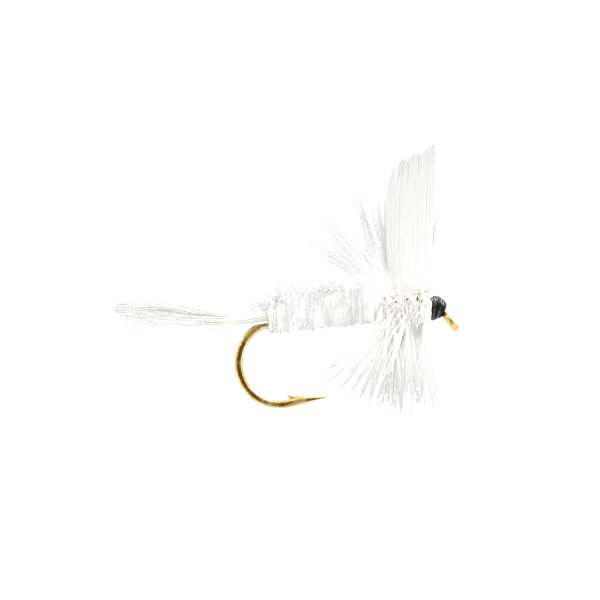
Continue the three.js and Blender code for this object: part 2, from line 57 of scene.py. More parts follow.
# Hook.
WIRE_R = 0.31
EYE_WIRE_R = 0.25
EYE_RING_R = 0.61
EYE_DROP = math.radians(57)
NECK_R = 1.34
SHANK_Z = NECK_R * (1 - math.cos(EYE_DROP)) + EYE_RING_R * math.sin(EYE_DROP)
NECK_X = -EYE_RING_R * math.cos(EYE_DROP) - NECK_R * math.sin(EYE_DROP)
BEND_X = -12.83
BEND_R = 3.04
BEND_SQUASH = 0.97
BEND_END = math.radians(187)
SPEAR_X = -11.4
POINT_X = -9.53
POINT_DIP = 0.2
POINT_R = 0.012
FORGED_FLAT = 0.16
BARB_CUT = ((-11.5, 0, -4.66), (-11.95, 0, -4.58), (-12.3, 0, -4.4), (-12.6, 0, -4.1))

# The wire thins over a number of steps after the shank, and its ring runs between two angles in degrees.
NECK_STEPS = 8
THINNING_STEPS = 12
RING_ANGLES = (138, -164)

# Windings of thread: start and end x, centre height, half width and half height of the oval inside.
THREAD_R = 0.04
STEPS_PER_TURN = 26
TAIL_BINDING = (-13.06, -12.5, 1.29, 0.6, 0.58)
WING_BUTT_BINDING = (-5.2, -4.2, 1.38, 0.62, 0.675)
WING_FOOT_HALF_SIZES = (0.46, 0.56)

# Body: stations of x, centre height and outer radius.
BODY_X = (-13.4, -12.6, -10.5, -8.0, -5.7)
BODY_Z = (1.18, 1.4, 1.55, 1.7, 1.72)
BODY_R = (0.95, 1.04, 1.16, 1.29, 1.3)
YARN_PITCH = 0.6
YARN_WIDTH = 0.56
YARN_DEPTH = 0.28
YARN_STEPS_PER_TURN = 30

# The yarn's ends are tucked in over a turn. The deeper they lie, the more they thin.
TUCKED_REAR = 0.46
TUCKED_FRONT = 0.08
TUCKED_TURNS = 1.0
TUCKED_THINNING = 1.2

# Fibres of the wool. Those felted within a distance of an end drift away from it.
TWISTED_FIBRES = 44
FELTED_FIBRES = 1500
STRAY_FIBRES = 700
FELTED_STEPS = 9
FELTED_END = 0.8
FUZZ_FIBRE_R = (0.034, 0.046)

# Curly wool along the back: a curl's start and end x, height over the body, loops' radius and fibres.
BACK_FUZZ = (
    (-14.5, -13.0, 0.75, 0.3, 4),
    (-13.7, -11.4, 1.15, 0.38, 5),
    (-12.9, -10.2, 1.35, 0.42, 5),
    (-11.2, -8.4, 0.75, 0.32, 4),
    (-9.6, -6.6, 0.75, 0.32, 4),
)

# Thorax and hackle.
THORAX_X = (-6.3, -5.5, -5.38, -5.21, -5.03, -4.86, -1.54)
THORAX_Z = (1.68, 1.68, 1.68, 1.58, 1.45, 1.38, 1.26)
THORAX_R = (0.94, 0.98, 1.12, 1.06, 0.95, 0.92, 0.82)
FLOSS_TURNS = 58
FLOSS_WIDTH = 0.036
FLOSS_DEPTH = 0.026
STEM_R = 0.09
STEM_COIL_R = 1.035
STEM_PITCH = 0.4
FEATHER_OFFSET = 0.2
REAR_COIL_X = -4.64
FRONT_COIL_X = -2.08
REAR_TURNS = 2
ALL_TURNS = 4
STEM_STEPS_PER_TURN = 34
BARBS_PER_FEATHER = 240
BARBS_PER_CLUMP = 3
BARBS_PER_UPPER_CLUMP = 2
BARB_STEPS = 15
BARB_LENGTH = (7.0, 8.3)
BARB_WIDTH_SHARES = (0, 0.06, 0.35, 0.8, 1)
BARB_WIDTHS = (0.05, 0.075, 0.068, 0.046, 0.012)
WEB_PER_FEATHER = 900
WEB_STEPS = 9
WEB_X = (-5.55, -1.4)
WEB_R = (1.15, 0.84)
STUB_X = (-4.19, -3.91, -3.5, -3.03, -2.37, -1.93)
STUB_ANGLES = (66, 73)
STUB_LENGTH = 0.6
STUB_R = (0.07, 0.11)

# How many degrees a barb leans back, at least and up to how many more, after a number of turns from the
# rear, where they point up or down. Barbs that point sideways stay between two other angles. The leans of
# the clumps follow each other by the golden share, which spreads them evenly.
SWEEP_TURNS = (0, 1, 2, 3, 4)
LEAST_SWEEP = (4, 0, -2, -4, -4)
MOST_SWEEP = (66, 56, 38, 22, 11)
SIDE_SWEEP = (4, 12)
BARB_SHARES = (0, 0.2, 0.42, 0.76, 1)
LEAN_BIAS = 1.3
GOLDEN_SHARE = 0.618

# A barb points up when its cosine from the top is over a limit, and sideways when its sine is. Most of those
# that point sideways have broken off. There are none near the top beside the wings and ahead of them.
POINTS_UP = 0.3
POINTS_SIDEWAYS = 0.7
BROKEN_AT_SIDES = 0.7
BARE_FROM_TURN = 1.4
BARE_BESIDE_WINGS = 0.16
BARE_AHEAD_OF_WINGS = 0.2

# Which part of the barbs' colours each kind of fibre has, from root to tip. Past 1, the last colour stays.
# An upper barb goes further into the painted shade of the tips than a lower one.
UPPER_BARB_SPAN = (0.06, 1.4)
LOWER_BARB_SPAN = (0.06, 0.95)
STEM_SPAN = (0.02, 0.02)
WEB_SPAN = (0.08, 0.35)
# The stubs run from cream into the near-black painted shade of the first colour.
STUB_SPAN = (0.04, 0)

# The few barbs that lean forward from the last turn.
FRONT_BARBS = 3
FRONT_BARB_LENGTH = 5.9
FRONT_BARB_SWEEP = -13

# Wings: heights, with a slip's rear and front edge at each.
WING_Z = (2.2, 2.48, 2.62, 2.8, 3.3, 4.2, 6.4, 9.3, 11.0, 13.1)
WING_REAR = (-3.3, -3.55, -3.85, -4.05, -4.18, -4.24, -4.15, -3.88, -3.45, -3.1)
WING_FRONT = (-2.45, -2.35, -1.7, -1.25, -1.14, -1.02, -0.72, -0.36, -0.14, 0.05)
TIP_SHARES = (0.0, 0.06, 0.17, 0.27, 0.36, 0.46, 0.56, 0.64, 0.73, 0.82, 0.92, 1.0)
RIGHT_TIPS = (10.9, 11.35, 11.9, 12.15, 12.1, 12.25, 12.6, 12.5, 12.55, 12.72, 12.97, 13.08)
LEFT_TIPS = (8.5, 9.2, 9.5, 9.4, 9.9, 10.4, 11.2, 11.6, 11.9, 12.1, 12.3, 12.4)
BARBS_PER_SLIP = 30
BARB_OVERLAP = 0.66
WING_HALF_GAP = 0.15
WING_CUP = 0.16
WING_SPREAD = 1.25
WING_SPREAD_HEIGHT = 10.9
LEFT_LEAN = 0.09

# Where a slip's fibres have parted, as shares of its width, and how far. They part only near their tips.
RIGHT_SPLITS = ((0.12, 0.06), (0.6, 0.03))
LEFT_SPLITS = ((0.1, 0.2), (0.3, 0.08))
PARTED_REACH = 2.6

# The wings' butts, below the foot.
BUTT_END_X = -6.1
BUTT_CORNER_X = -3.5
BUTT_TOP_Z = 1.98
BUTT_STACK = 0.4
BUTT_WIDTH = 0.03
BUTT_DEPTH = 0.11

# Tail.
TAIL_LAYERS = (
    (0.47, (-80, -60, -40, -20, 0, 20, 40, 60, 80)),
    (0.61, (-45, -27, -9, 9, 27, 45)),
)
TAIL_BUTT_X = -12.4
TAIL_HALF_ARC = math.radians(85)
TAIL_ROOT_R = 0.46
TAIL_STEPS = 34
FIBRES_PER_TAIL_NODE = 8
FIBRE_ANGLE_SPREAD = 11
FIBRE_R_SHARES = (0, 0.4, 0.7, 1)
FIBRE_R = (0.05, 0.042, 0.03, 0.02)

# Head.
HEAD_AXIS = ((-1.5, 0, 1.14), (-0.95, 0, 1.13), (-0.36, 0, 0.77))
HEAD_R = (0.6, 0.71, 0.77, 0.75, 0.68, 0.58, 0.46)
HEAD_STATIONS = 200
HEAD_TURNS = 12
HEAD_THREAD_R = 0.06
CROSSING_THREAD_R = 0.055
LACQUER_LUMPS = 44

# Steep crossing turns: shares of the head's length where they start and end, and their number.
CROSSING_TURNS = ((0.1, 0.9, 2.5), (0.95, 0.2, 2.2), (0.3, 0.75, 1.4))

# ------------ geometry helpers


def unit(v):
    return v / np.linalg.norm(v, axis=-1, keepdims=True)


def smoothstep(t):
    t = np.clip(t, 0, 1)
    return t * t * (3 - 2 * t)


def through(points, steps):
    """A smooth curve through the points, with that many steps."""
    points = np.asarray(points, float)
    padded = np.vstack([2 * points[0] - points[1], points, 2 * points[-1] - points[-2]])
    at = np.linspace(0, len(points) - 1, steps + 1)
    i = np.minimum(at.astype(int), len(points) - 2)
    t = (at - i)[:, None]
    a, b, c, d = (padded[i + k] for k in range(4))
    return 0.5 * (2 * b + (c - a) * t + (2 * a - 5 * b + 4 * c - d) * t**2 + (3 * b - a - 3 * c + d) * t**3)


def bezier(a, b, c, steps):
    t = np.linspace(0, 1, steps + 1)[:, None]
    return (1 - t) ** 2 * a + 2 * t * (1 - t) * b + t**2 * c


class Strands:
    """Swept, closed strands of changing thickness, gathered into one mesh."""

    def __init__(self):
        self.points = []
        self.faces = []
        self.along = []
        self.shade = []
        self.count = 0

    def add(self, path, width, depth=None, sides=5, up=None, shade=0.5, roundness=2.0, along=(0, 1)):
        """width and depth are half sizes across and along up: one direction, or one for each point."""
        path = np.asarray(path, float)
        steps = len(path)
        width = np.broadcast_to(width, steps)
        depth = width if depth is None else np.broadcast_to(depth, steps)
        tangent = unit(np.gradient(path, axis=0))
        normal = self._normals(tangent, up)
        across = np.cross(tangent, normal)
        angle = 2 * np.pi * np.arange(sides) / sides
        squareness = 2 / roundness
        c = np.sign(np.cos(angle)) * np.abs(np.cos(angle)) ** squareness
        s = np.sign(np.sin(angle)) * np.abs(np.sin(angle)) ** squareness
        rings = path[:, None] + across[:, None] * c[None, :, None] * width[:, None, None]
        rings = rings + normal[:, None] * s[None, :, None] * depth[:, None, None]
        self.add_rings(rings, shade, along)

    def add_rings(self, rings, shade=0.5, along=(0, 1)):
        steps, sides = rings.shape[:2]
        self.points.append(rings.reshape(-1, 3))
        self.along.append(np.repeat(np.linspace(*along, steps), sides))
        self.shade.append(np.full(steps * sides, shade))
        self._join_rings(steps, sides)

    def _normals(self, tangent, up):
        if up is not None:
            up = np.broadcast_to(up, tangent.shape)
            return unit(up - tangent * np.sum(up * tangent, axis=1, keepdims=True))
        normal = np.empty_like(tangent)
        n = np.array([0.0, 1.0, 0.0]) if abs(tangent[0][1]) < 0.8 else np.array([1.0, 0.0, 0.0])
        for i, t in enumerate(tangent):
            n = n - t * (n @ t)
            n = n / math.sqrt(n @ n)
            normal[i] = n
        return normal

    def _join_rings(self, steps, sides):
        a = self.count + np.arange(steps - 1)[:, None] * sides + np.arange(sides)[None, :]
        b = self.count + np.arange(steps - 1)[:, None] * sides + (np.arange(sides)[None, :] + 1) % sides
        quads = np.stack([a, a + sides, b + sides, b], axis=-1).reshape(-1, 4)
        self.faces.extend(quads.tolist())
        first = list(range(self.count, self.count + sides))
        last = [self.count + (steps - 1) * sides + s for s in range(sides)]
        self.faces.append(first)
        self.faces.append(last[::-1])
        self.count += steps * sides

    def mesh(self, name):
        mesh = bpy.data.meshes.new(name)
        mesh.from_pydata((np.vstack(self.points) * MM).tolist(), [], self.faces)
        for key, values in (("along", self.along), ("shade", self.shade)):
            attribute = mesh.attributes.new(key, "FLOAT", "POINT")
            attribute.data.foreach_set("value", np.concatenate(values).astype(np.float32))
        mesh.polygons.foreach_set("use_smooth", [True] * len(mesh.polygons))
        mesh.update()
        return mesh


def add_piece(name, strands, material):
    """Makes one visible piece, which stands for the CAD node of the same name."""
    obj = bpy.data.objects.new(name, strands.mesh(name))
    bpy.context.scene.collection.objects.link(obj)
    obj.data.materials.append(MATERIALS[material])
    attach(obj, BODY)
    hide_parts(name)


# ------------ material helpers


class Shader:
    """A Principled material with a few short ways to drive its sockets."""

    def __init__(self, name, **sockets):
        self.material = bpy.data.materials.new(name)
        self.material.use_nodes = True
        self.tree = self.material.node_tree
        self.principled = self.tree.nodes["Principled BSDF"]
        for socket, value in sockets.items():
            self.principled.inputs[socket.replace("_", " ")].default_value = value

    def node(self, kind, **settings):
        node = self.tree.nodes.new(kind)
        for key, value in settings.items():
            if key in node.inputs:
                node.inputs[key].default_value = value
            else:
                setattr(node, key, value)
        return node

    def link(self, out, into):
        self.tree.links.new(out, into)

    def place(self):
        """Object coordinates in millimetres."""
        coordinates = self.node("ShaderNodeTexCoord")
        mapping = self.node("ShaderNodeMapping", Scale=(1 / MM, 1 / MM, 1 / MM))
        self.link(coordinates.outputs["Object"], mapping.inputs["Vector"])
        return mapping.outputs["Vector"]

    def noise(self, scale, detail=3.0):
        """Noise with that many waves in a millimetre."""
        noise = self.node("ShaderNodeTexNoise", Scale=scale, Detail=detail)
        self.link(self.place(), noise.inputs["Vector"])
        return noise.outputs["Fac"]

    def attribute(self, name):
        return self.node("ShaderNodeAttribute", attribute_name=name).outputs["Fac"]

    def ramp(self, value, stops):
        """stops are (place, colour); a colour may be one number."""
        ramp = self.node("ShaderNodeValToRGB")
        elements = ramp.color_ramp.elements
        while len(elements) < len(stops):
            elements.new(0.5)
        for element, (place, colour) in zip(elements, stops):
            element.position = place
            element.color = (*colour, 1) if isinstance(colour, tuple) else (colour, colour, colour, 1)
        self.link(value, ramp.inputs["Fac"])
        return ramp.outputs["Color"]

    def multiply(self, a, b):
        """The product of two colours, which are sockets 6 and 7 of a colour mix."""
        mix = self.node("ShaderNodeMix", data_type="RGBA", blend_type="MULTIPLY")
        mix.inputs["Factor"].default_value = 1.0
        self.link(a, mix.inputs[6])
        self.link(b, mix.inputs[7])
        return mix.outputs[2]

    def drive(self, socket, value):
        self.link(value, self.principled.inputs[socket])

    def bump(self, height, depth_mm, strength=1.0):
        bump = self.node("ShaderNodeBump", Strength=strength, Distance=depth_mm * MM)
        self.link(height, bump.inputs["Height"])
        self.link(bump.outputs["Normal"], self.principled.inputs["Normal"])


def gold_wire():
    """Lacquered gold, uneven in its colour and its polish."""
    shader = Shader("gold_wire", Metallic=1.0, Coat_Weight=0.4, Coat_Roughness=0.08)
    shader.principled.inputs["Specular Tint"].default_value = (0.72, 0.6, 0.4, 1)
    tint = shader.ramp(
        shader.noise(1.1, 4.0),
        [(0.38, (0.8, 0.6, 0.2)), (0.5, (0.85, 0.72, 0.33)), (0.62, (0.88, 0.79, 0.43))],
    )
    shader.drive("Base Color", tint)
    shader.drive("Roughness", shader.ramp(shader.noise(0.9, 6.0), [(0.4, 0.12), (0.6, 0.5)]))
    shader.bump(shader.noise(1.8, 6.0), 0.09)
    return shader.material


def fibre(name, colours, roughness, darkest):
    """Feather fibres. The colours follow a fibre from its root to its tip, and each is lighter or darker."""
    shader = Shader(name)
    along = shader.ramp(shader.attribute("along"), colours)
    each = shader.ramp(shader.attribute("shade"), [(0.0, darkest), (1.0, 1.0)])
    mottle = shader.ramp(shader.noise(3.0, 3.0), [(0.3, 0.97), (0.7, 1.0)])
    shader.drive("Base Color", shader.multiply(shader.multiply(along, each), mottle))
    low, high = roughness - 0.1, roughness + 0.1
    shader.drive("Roughness", shader.ramp(shader.noise(6.0), [(0.35, low), (0.65, high)]))
    shader.bump(shader.noise(28.0, 2.0), 0.008, 0.6)
    return shader.material


def spun(name, colours, roughness, grain, depth_mm, **sockets):
    """Thread, floss and wool: matt and finely grained, dyed between a lighter and a darker colour."""
    shader = Shader(name, **sockets)
    dye = shader.ramp(shader.noise(1.3, 4.0), [(0.35, colours[1]), (0.6, colours[0])])
    each = shader.ramp(shader.attribute("shade"), [(0.0, 0.9), (1.0, 1.0)])
    shader.drive("Base Color", shader.multiply(dye, each))
    low, high = roughness - 0.12, roughness + 0.1
    shader.drive("Roughness", shader.ramp(shader.noise(grain), [(0.3, low), (0.7, high)]))
    shader.bump(shader.noise(grain, 4.0), depth_mm, 0.7)
    return shader.material


def black_thread():
    shader = Shader("black_thread", Coat_Weight=1.0, Coat_Roughness=0.08)
    dye = shader.ramp(shader.noise(5.0), [(0.3, (0.004, 0.004, 0.005)), (0.7, (0.014, 0.014, 0.017))])
    shader.drive("Base Color", dye)
    shader.drive("Roughness", shader.ramp(shader.noise(12.0), [(0.3, 0.25), (0.7, 0.45)]))
    shader.bump(shader.noise(20.0), 0.012)
    return shader.material


def black_lacquer():
    """Hard, wet-looking lacquer over black thread: next to no colour, and its gloss is all in the coat."""
    shader = Shader("black_lacquer", Coat_Weight=0.4, Coat_Roughness=0.05, Specular_IOR_Level=0.0)
    dye = shader.ramp(shader.noise(4.0), [(0.3, (0.001, 0.001, 0.002)), (0.7, (0.005, 0.005, 0.009))])
    shader.drive("Base Color", dye)
    shader.drive("Roughness", shader.ramp(shader.noise(7.0), [(0.35, 0.2), (0.65, 0.4)]))
    shader.bump(shader.noise(4.5, 2.0), 0.28)
    return shader.material


# Colours of fibres from root to tip. A barb is amber where it leaves its stem, then white, then darker
# towards its tip, which is painted shade. The near-black first colour, which only the stubs reach, is
# painted shade between the stems.
BARB_COLOURS = [
    (0.0, (0.14, 0.09, 0.03)),
    (0.02, (0.72, 0.56, 0.26)),
    (0.04, (0.92, 0.86, 0.7)),
    (0.1, (0.988, 0.976, 0.935)),
    (0.3, (0.98, 0.976, 0.962)),
    (0.5, (0.87, 0.87, 0.862)),
    (0.75, (0.71, 0.71, 0.703)),
    (1.0, (0.58, 0.58, 0.575)),
]
# A tail fibre is darker and yellower at its root, lightest in its middle, and darker towards its tip, which
# is painted shade.
TAIL_COLOURS = [
    (0.0, (0.72, 0.72, 0.65)),
    (0.3, (0.8, 0.8, 0.75)),
    (0.5, (0.9, 0.9, 0.88)),
    (1.0, (0.78, 0.78, 0.775)),
]
# A wing's fibres are lightest at the butt and darken up towards their tips, which is painted shade.
QUILL_COLOURS = [
    (0.0, (0.94, 0.93, 0.9)),
    (0.2, (0.8, 0.798, 0.785)),
    (0.4, (0.7, 0.698, 0.69)),
    (1.0, (0.6, 0.6, 0.595)),
]
# The far wing has a lighter copy of the wing's colours: painted light against the shade that the near wing
# casts on it. It too darkens towards the tips as painted shade.
FAR_QUILL_COLOURS = [
    (0.0, (0.94, 0.93, 0.9)),
    (0.2, (0.88, 0.876, 0.865)),
    (1.0, (0.74, 0.74, 0.735)),
]

# The lighter and the darker colour of what is spun.
WOOL_COLOURS = ((0.96, 0.958, 0.953), (0.94, 0.938, 0.933))
# The curly wool is white wool painted grey all over: painted shade.
FUZZ_COLOURS = ((0.76, 0.76, 0.755), (0.7, 0.7, 0.695))
FLOSS_COLOURS = ((0.98, 0.97, 0.94), (0.97, 0.955, 0.915))
THREAD_COLOURS = ((0.94, 0.92, 0.86), (0.9, 0.87, 0.79))

MATERIALS = {
    "gold": gold_wire(),
    "hackle": fibre("hackle_barb", BARB_COLOURS, 0.5, 0.965),
    "tail": fibre("tail_fibre", TAIL_COLOURS, 0.42, 0.94),
    "quill": fibre("wing_quill", QUILL_COLOURS, 0.5, 0.985),
    # The far wing's lighter colours are painted light.
    "far_quill": fibre("left_wing_quill", FAR_QUILL_COLOURS, 0.5, 0.97),
    "wool": spun("wool_yarn", WOOL_COLOURS, 0.88, 18.0, 0.02, Sheen_Weight=0.25),
    "fuzz": spun("wool_fuzz", FUZZ_COLOURS, 0.88, 18.0, 0.01),
    "floss": spun("cream_floss", FLOSS_COLOURS, 0.6, 20.0, 0.012, Sheen_Weight=0.15),
    "thread": spun("tying_thread", THREAD_COLOURS, 0.6, 24.0, 0.01),
    "black": black_thread(),
    "lacquer": black_lacquer(),
}

# ------------ hook


def bend_point(angle):
    x = BEND_X - BEND_SQUASH * BEND_R * np.sin(angle)
    z = SHANK_Z - BEND_R + BEND_R * np.cos(angle)
    return np.stack([x, np.zeros_like(x), z], axis=-1)


def neck_point(angle):
    x = NECK_X + NECK_R * np.sin(angle)
    z = SHANK_Z - NECK_R * (1 - np.cos(angle))
    return np.stack([x, np.zeros_like(x), z], axis=-1)


def spear():
    """The straight, tapering end of the wire, from the point back to the bend."""
    share = np.linspace(0, 1, 22) ** 1.3
    radius = POINT_R + (WIRE_R - POINT_R) * share**0.8
    bend_start = bend_point(np.array([BEND_END]))[0]
    slope = math.tan(BEND_END - math.pi) / BEND_SQUASH
    top = bend_start[2] + slope * (SPEAR_X - bend_start[0]) + WIRE_R
    x = POINT_X + (SPEAR_X - POINT_X) * share
    z = top - POINT_DIP * (1 - share) - radius
    return np.stack([x, 0 * x, z], axis=-1), radius


def eye_path():
    """The wire's last stretch: down the neck, round the ring and shut against the neck."""
    forward = np.array([math.cos(EYE_DROP), 0, -math.sin(EYE_DROP)])
    side = np.array([0, 1.0, 0])
    neck = neck_point(np.linspace(0, EYE_DROP * 0.72, NECK_STEPS))
    angle = np.radians(np.linspace(*RING_ANGLES, 44))[:, None]
    ring = EYE_RING_R * (np.cos(angle) * forward + np.sin(angle) * side)
    # The wire leans to one side where it leaves the neck, so that the ring's end fits beside it.
    turn = (-EYE_RING_R * 1.18) * forward + 0.09 * side
    return np.vstack([neck, through([neck[-1], turn, ring[0]], 7)[1:-1], ring])


def make_hook():
    spear_path, spear_radius = spear()
    bend = bend_point(np.linspace(BEND_END, 0, 90))[1:]
    eye = eye_path()
    shank = np.linspace(bend[-1], eye[0], 14)[1:-1]
    path = np.vstack([spear_path, bend, shank, eye])
    lengths = [len(spear_path), len(bend), len(shank), len(eye)]
    radius = np.concatenate([
        spear_radius,
        np.full(lengths[1] + lengths[2], WIRE_R),
        np.interp(np.arange(lengths[3]), (0, THINNING_STEPS), (WIRE_R, EYE_WIRE_R)),
    ])
    # The bend is forged: its sides are pressed a little flat.
    forged = np.concatenate([
        smoothstep(np.linspace(0, 1, lengths[0])),
        1 - smoothstep(np.linspace(-2.5, 1, lengths[1])),
        np.zeros(lengths[2] + lengths[3]),
    ])
    depth = radius * (1 - FORGED_FLAT * forged)
    strands = Strands()
    strands.add(path, radius, depth, sides=28, up=hook_sides(path, lengths), roundness=2.5)
    add_hook_barb(strands)
    add_piece("hook", strands, "gold")


def add_hook_barb(strands):
    path = through(BARB_CUT, 10)
    width = np.linspace(0.24, 0.02, len(path))
    depth = np.linspace(0.14, 0.06, len(path))
    strands.add(path, width, depth, sides=10, up=(0.0, 1.0, 0.0))


def hook_sides(path, lengths):
    """Sideways directions along the hook, which turn with the wire where it goes round the eye."""
    up = np.tile((0.0, 1.0, 0.0), (len(path), 1))
    ring_start = sum(lengths[:3]) + NECK_STEPS
    away = np.array([math.sin(EYE_DROP), 0, math.cos(EYE_DROP)])
    share = smoothstep((np.arange(len(path)) - ring_start) / NECK_STEPS)[:, None]
    return unit(up * (1 - share) + away * share)


# ------------ windings of thread


def winding(strands, start_x, end_x, centre_z, half_width, half_height, rng):
    """One thread wound round an upright oval in touching turns."""
    turns = (end_x - start_x) / (2 * THREAD_R)
    count = int(turns * STEPS_PER_TURN)
    x = np.linspace(start_x, end_x, count)
    angle = np.linspace(0, 2 * np.pi * turns, count)
    wobble = THREAD_R * 0.25 * np.sin(angle * 0.37 + rng.uniform(0, 6))
    y = (half_width + THREAD_R + wobble) * np.sin(angle)
    z = centre_z + (half_height + THREAD_R + wobble) * np.cos(angle)
    lay = x + rng.normal(0, THREAD_R * 0.12, count)
    strands.add(np.stack([lay, y, z], axis=-1), THREAD_R, sides=6, shade=rng.uniform(0.3, 1))


def make_bindings():
    rng = np.random.default_rng(3)
    for name, oval in (("tail_binding", TAIL_BINDING), ("wing_butt_binding", WING_BUTT_BINDING)):
        strands = Strands()
        winding(strands, *oval, rng)
        add_piece(name, strands, "thread")
    make_foot_wraps(rng)


def make_foot_wraps(rng):
    """Turns round the wings' foot: a winding along x, which is then stood upright in its CAD node's box."""
    low, high = (np.array(corner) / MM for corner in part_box("wing_foot_wraps"))
    strands = Strands()
    winding(strands, 0.0, high[2] - low[2] - 2 * THREAD_R, 0, *WING_FOOT_HALF_SIZES, rng)
    x, y, z = strands.points[0].T
    centre_x = (low[0] + high[0]) / 2
    strands.points[0] = np.stack([centre_x - z, y, low[2] + THREAD_R + x], axis=-1)
    add_piece("wing_foot_wraps", strands, "thread")


# ------------ tail


def tail_path(y, z, reach, waver):
    """One fibre from its tied butt to its tip. y and z are its place in the bundle on the shank."""
    up = 1 - 2 * abs(math.atan2(y, z - SHANK_Z)) / TAIL_HALF_ARC
    out = y / TAIL_ROOT_R
    return [
        (TAIL_BUTT_X, y, z),
        (-13.5, y, z + 0.02),
        (-15.2, 0.42 * out, 1.5 + 0.42 * up),
        (-18.2, 0.5 * out + waver[0][0], 1.8 + 0.66 * up + waver[0][1]),
        (-20.8, 0.68 * out + 2 * waver[1][0], 2.3 + 0.9 * up + 2 * waver[1][1]),
        (-24.1 - 0.55 * up + reach, 0.8 * out + 2 * waver[2][0], 2.66 + 0.83 * up + 2 * waver[2][1]),
    ]


def add_tail_fibre(strands, radius, degrees, bunch_waver, bunch_reach, rng):
    """One fibre near its CAD fibre's place on the shank, with a little waver and reach of its own."""
    angle = math.radians(degrees + rng.uniform(-FIBRE_ANGLE_SPREAD, FIBRE_ANGLE_SPREAD))
    spread = radius + rng.uniform(-0.1, 0.1)
    y = spread * math.sin(angle)
    z = SHANK_Z + spread * math.cos(angle)
    waver = bunch_waver + rng.normal(0, 0.03, (3, 2))
    points = tail_path(y, z, bunch_reach + rng.uniform(-0.15, 0.15), waver)
    # The tips hook over and down, those of the upper fibres most.
    hook = rng.uniform(0.0, 0.5) * smoothstep((points[-1][2] - 1.6) / 1.6)
    end = np.array(points[-1])
    points.append(tuple(end + (-0.2 + 1.1 * hook, rng.normal(0, 0.05), 0.04 - 1.3 * hook)))
    path = through(points, TAIL_STEPS)
    thickness = np.interp(np.linspace(0, 1, len(path)), FIBRE_R_SHARES, FIBRE_R)
    strands.add(path, thickness, sides=5, shade=rng.uniform(0, 1))


def make_tail():
    """A bunch of fibres for each CAD fibre, which waver together and end together."""
    rng = np.random.default_rng(21)
    places = [(radius, degrees) for radius, angles in TAIL_LAYERS for degrees in angles]
    for number, (radius, degrees) in enumerate(places, 1):
        strands = Strands()
        bunch_waver = rng.normal(0, 0.08, (3, 2))
        bunch_reach = rng.uniform(0.0, 0.8)
        for _ in range(FIBRES_PER_TAIL_NODE):
            add_tail_fibre(strands, radius, degrees, bunch_waver, bunch_reach, rng)
        add_piece(f"tail_fibre_{number:02d}", strands, "tail")


# ------------ body


def body_z(x):
    return np.interp(x, BODY_X, BODY_Z)


def body_r(x):
    """The body's radius, a little uneven along its length."""
    lumps = 1 + 0.03 * np.sin(2.9 * x) + 0.028 * np.sin(6.7 * x + 1)
    return np.interp(x, BODY_X, BODY_R) * lumps


def yarn_coil():
    """Centre line of the wound yarn, with its outward directions and its angle round the shank."""
    turns = (BODY_X[-1] - BODY_X[0]) / YARN_PITCH
    count = int(turns * YARN_STEPS_PER_TURN)
    x = np.linspace(BODY_X[0], BODY_X[-1], count)
    angle = np.linspace(0, 2 * np.pi * turns, count)
    radial = np.stack([0 * x, np.sin(angle), np.cos(angle)], axis=-1)
    r = (body_r(x) - YARN_DEPTH / 2 - tucked(x) * (1 - yarn_end_share(angle)))[:, None]
    return np.stack([x, 0 * x, body_z(x)], axis=-1) + radial * r, radial, angle


def tucked(x):
    """How deep the nearer end of the yarn is tucked in."""
    return np.where(x < (BODY_X[0] + BODY_X[-1]) / 2, TUCKED_REAR, TUCKED_FRONT)


def yarn_end_share(angle):
    """1 along the yarn, less over the first and last parts of a turn, where its ends are tucked in."""
    from_end = np.minimum(angle, angle[-1] - angle)
    return smoothstep(from_end / (2 * np.pi * TUCKED_TURNS))


def make_yarn():
    """A soft strand of wool wound in touching turns: a lumpy core under twisted, felted and stray fibres."""
    rng = np.random.default_rng(5)
    strands = Strands()
    path, outward_way, angle = yarn_coil()
    full = 1 - TUCKED_THINNING * tucked(path[:, 0]) * (1 - yarn_end_share(angle))
    lumps = (1 + 0.07 * np.sin(angle * 2.3 + 1.1) + 0.05 * np.sin(angle * 5.1)) * full
    width, depth = YARN_WIDTH * 0.58 * lumps, YARN_DEPTH / 2 * lumps
    strands.add(path, width, depth, sides=14, up=outward_way, roundness=2.8)
    for _ in range(TWISTED_FIBRES):
        add_twisted(strands, path, outward_way, angle, full, rng)
    for _ in range(FELTED_FIBRES):
        add_felted(strands, rng)
    for _ in range(STRAY_FIBRES):
        add_stray(strands, path, outward_way, rng)
    add_piece("body_yarn", strands, "wool")


def add_twisted(strands, path, outward_way, angle, full, rng):
    """A fibre that follows the yarn all the way and twists round it."""
    start = rng.uniform(0, 2 * np.pi)
    twist = start + angle * rng.uniform(0.25, 0.6) + 0.4 * np.sin(angle * rng.uniform(0.5, 1.5))
    reach = (rng.uniform(0.9, 1.1) + 0.06 * np.sin(angle * rng.uniform(1, 4) + start)) * full
    across = (YARN_WIDTH * 0.55 * reach * np.cos(twist))[:, None] * FORWARD
    outwards = (YARN_DEPTH / 2 * (reach + 0.06) * np.sin(twist))[:, None] * outward_way
    radius = rng.uniform(0.016, 0.028)
    strands.add(path + across + outwards, radius, sides=4, shade=rng.uniform(0, 1))


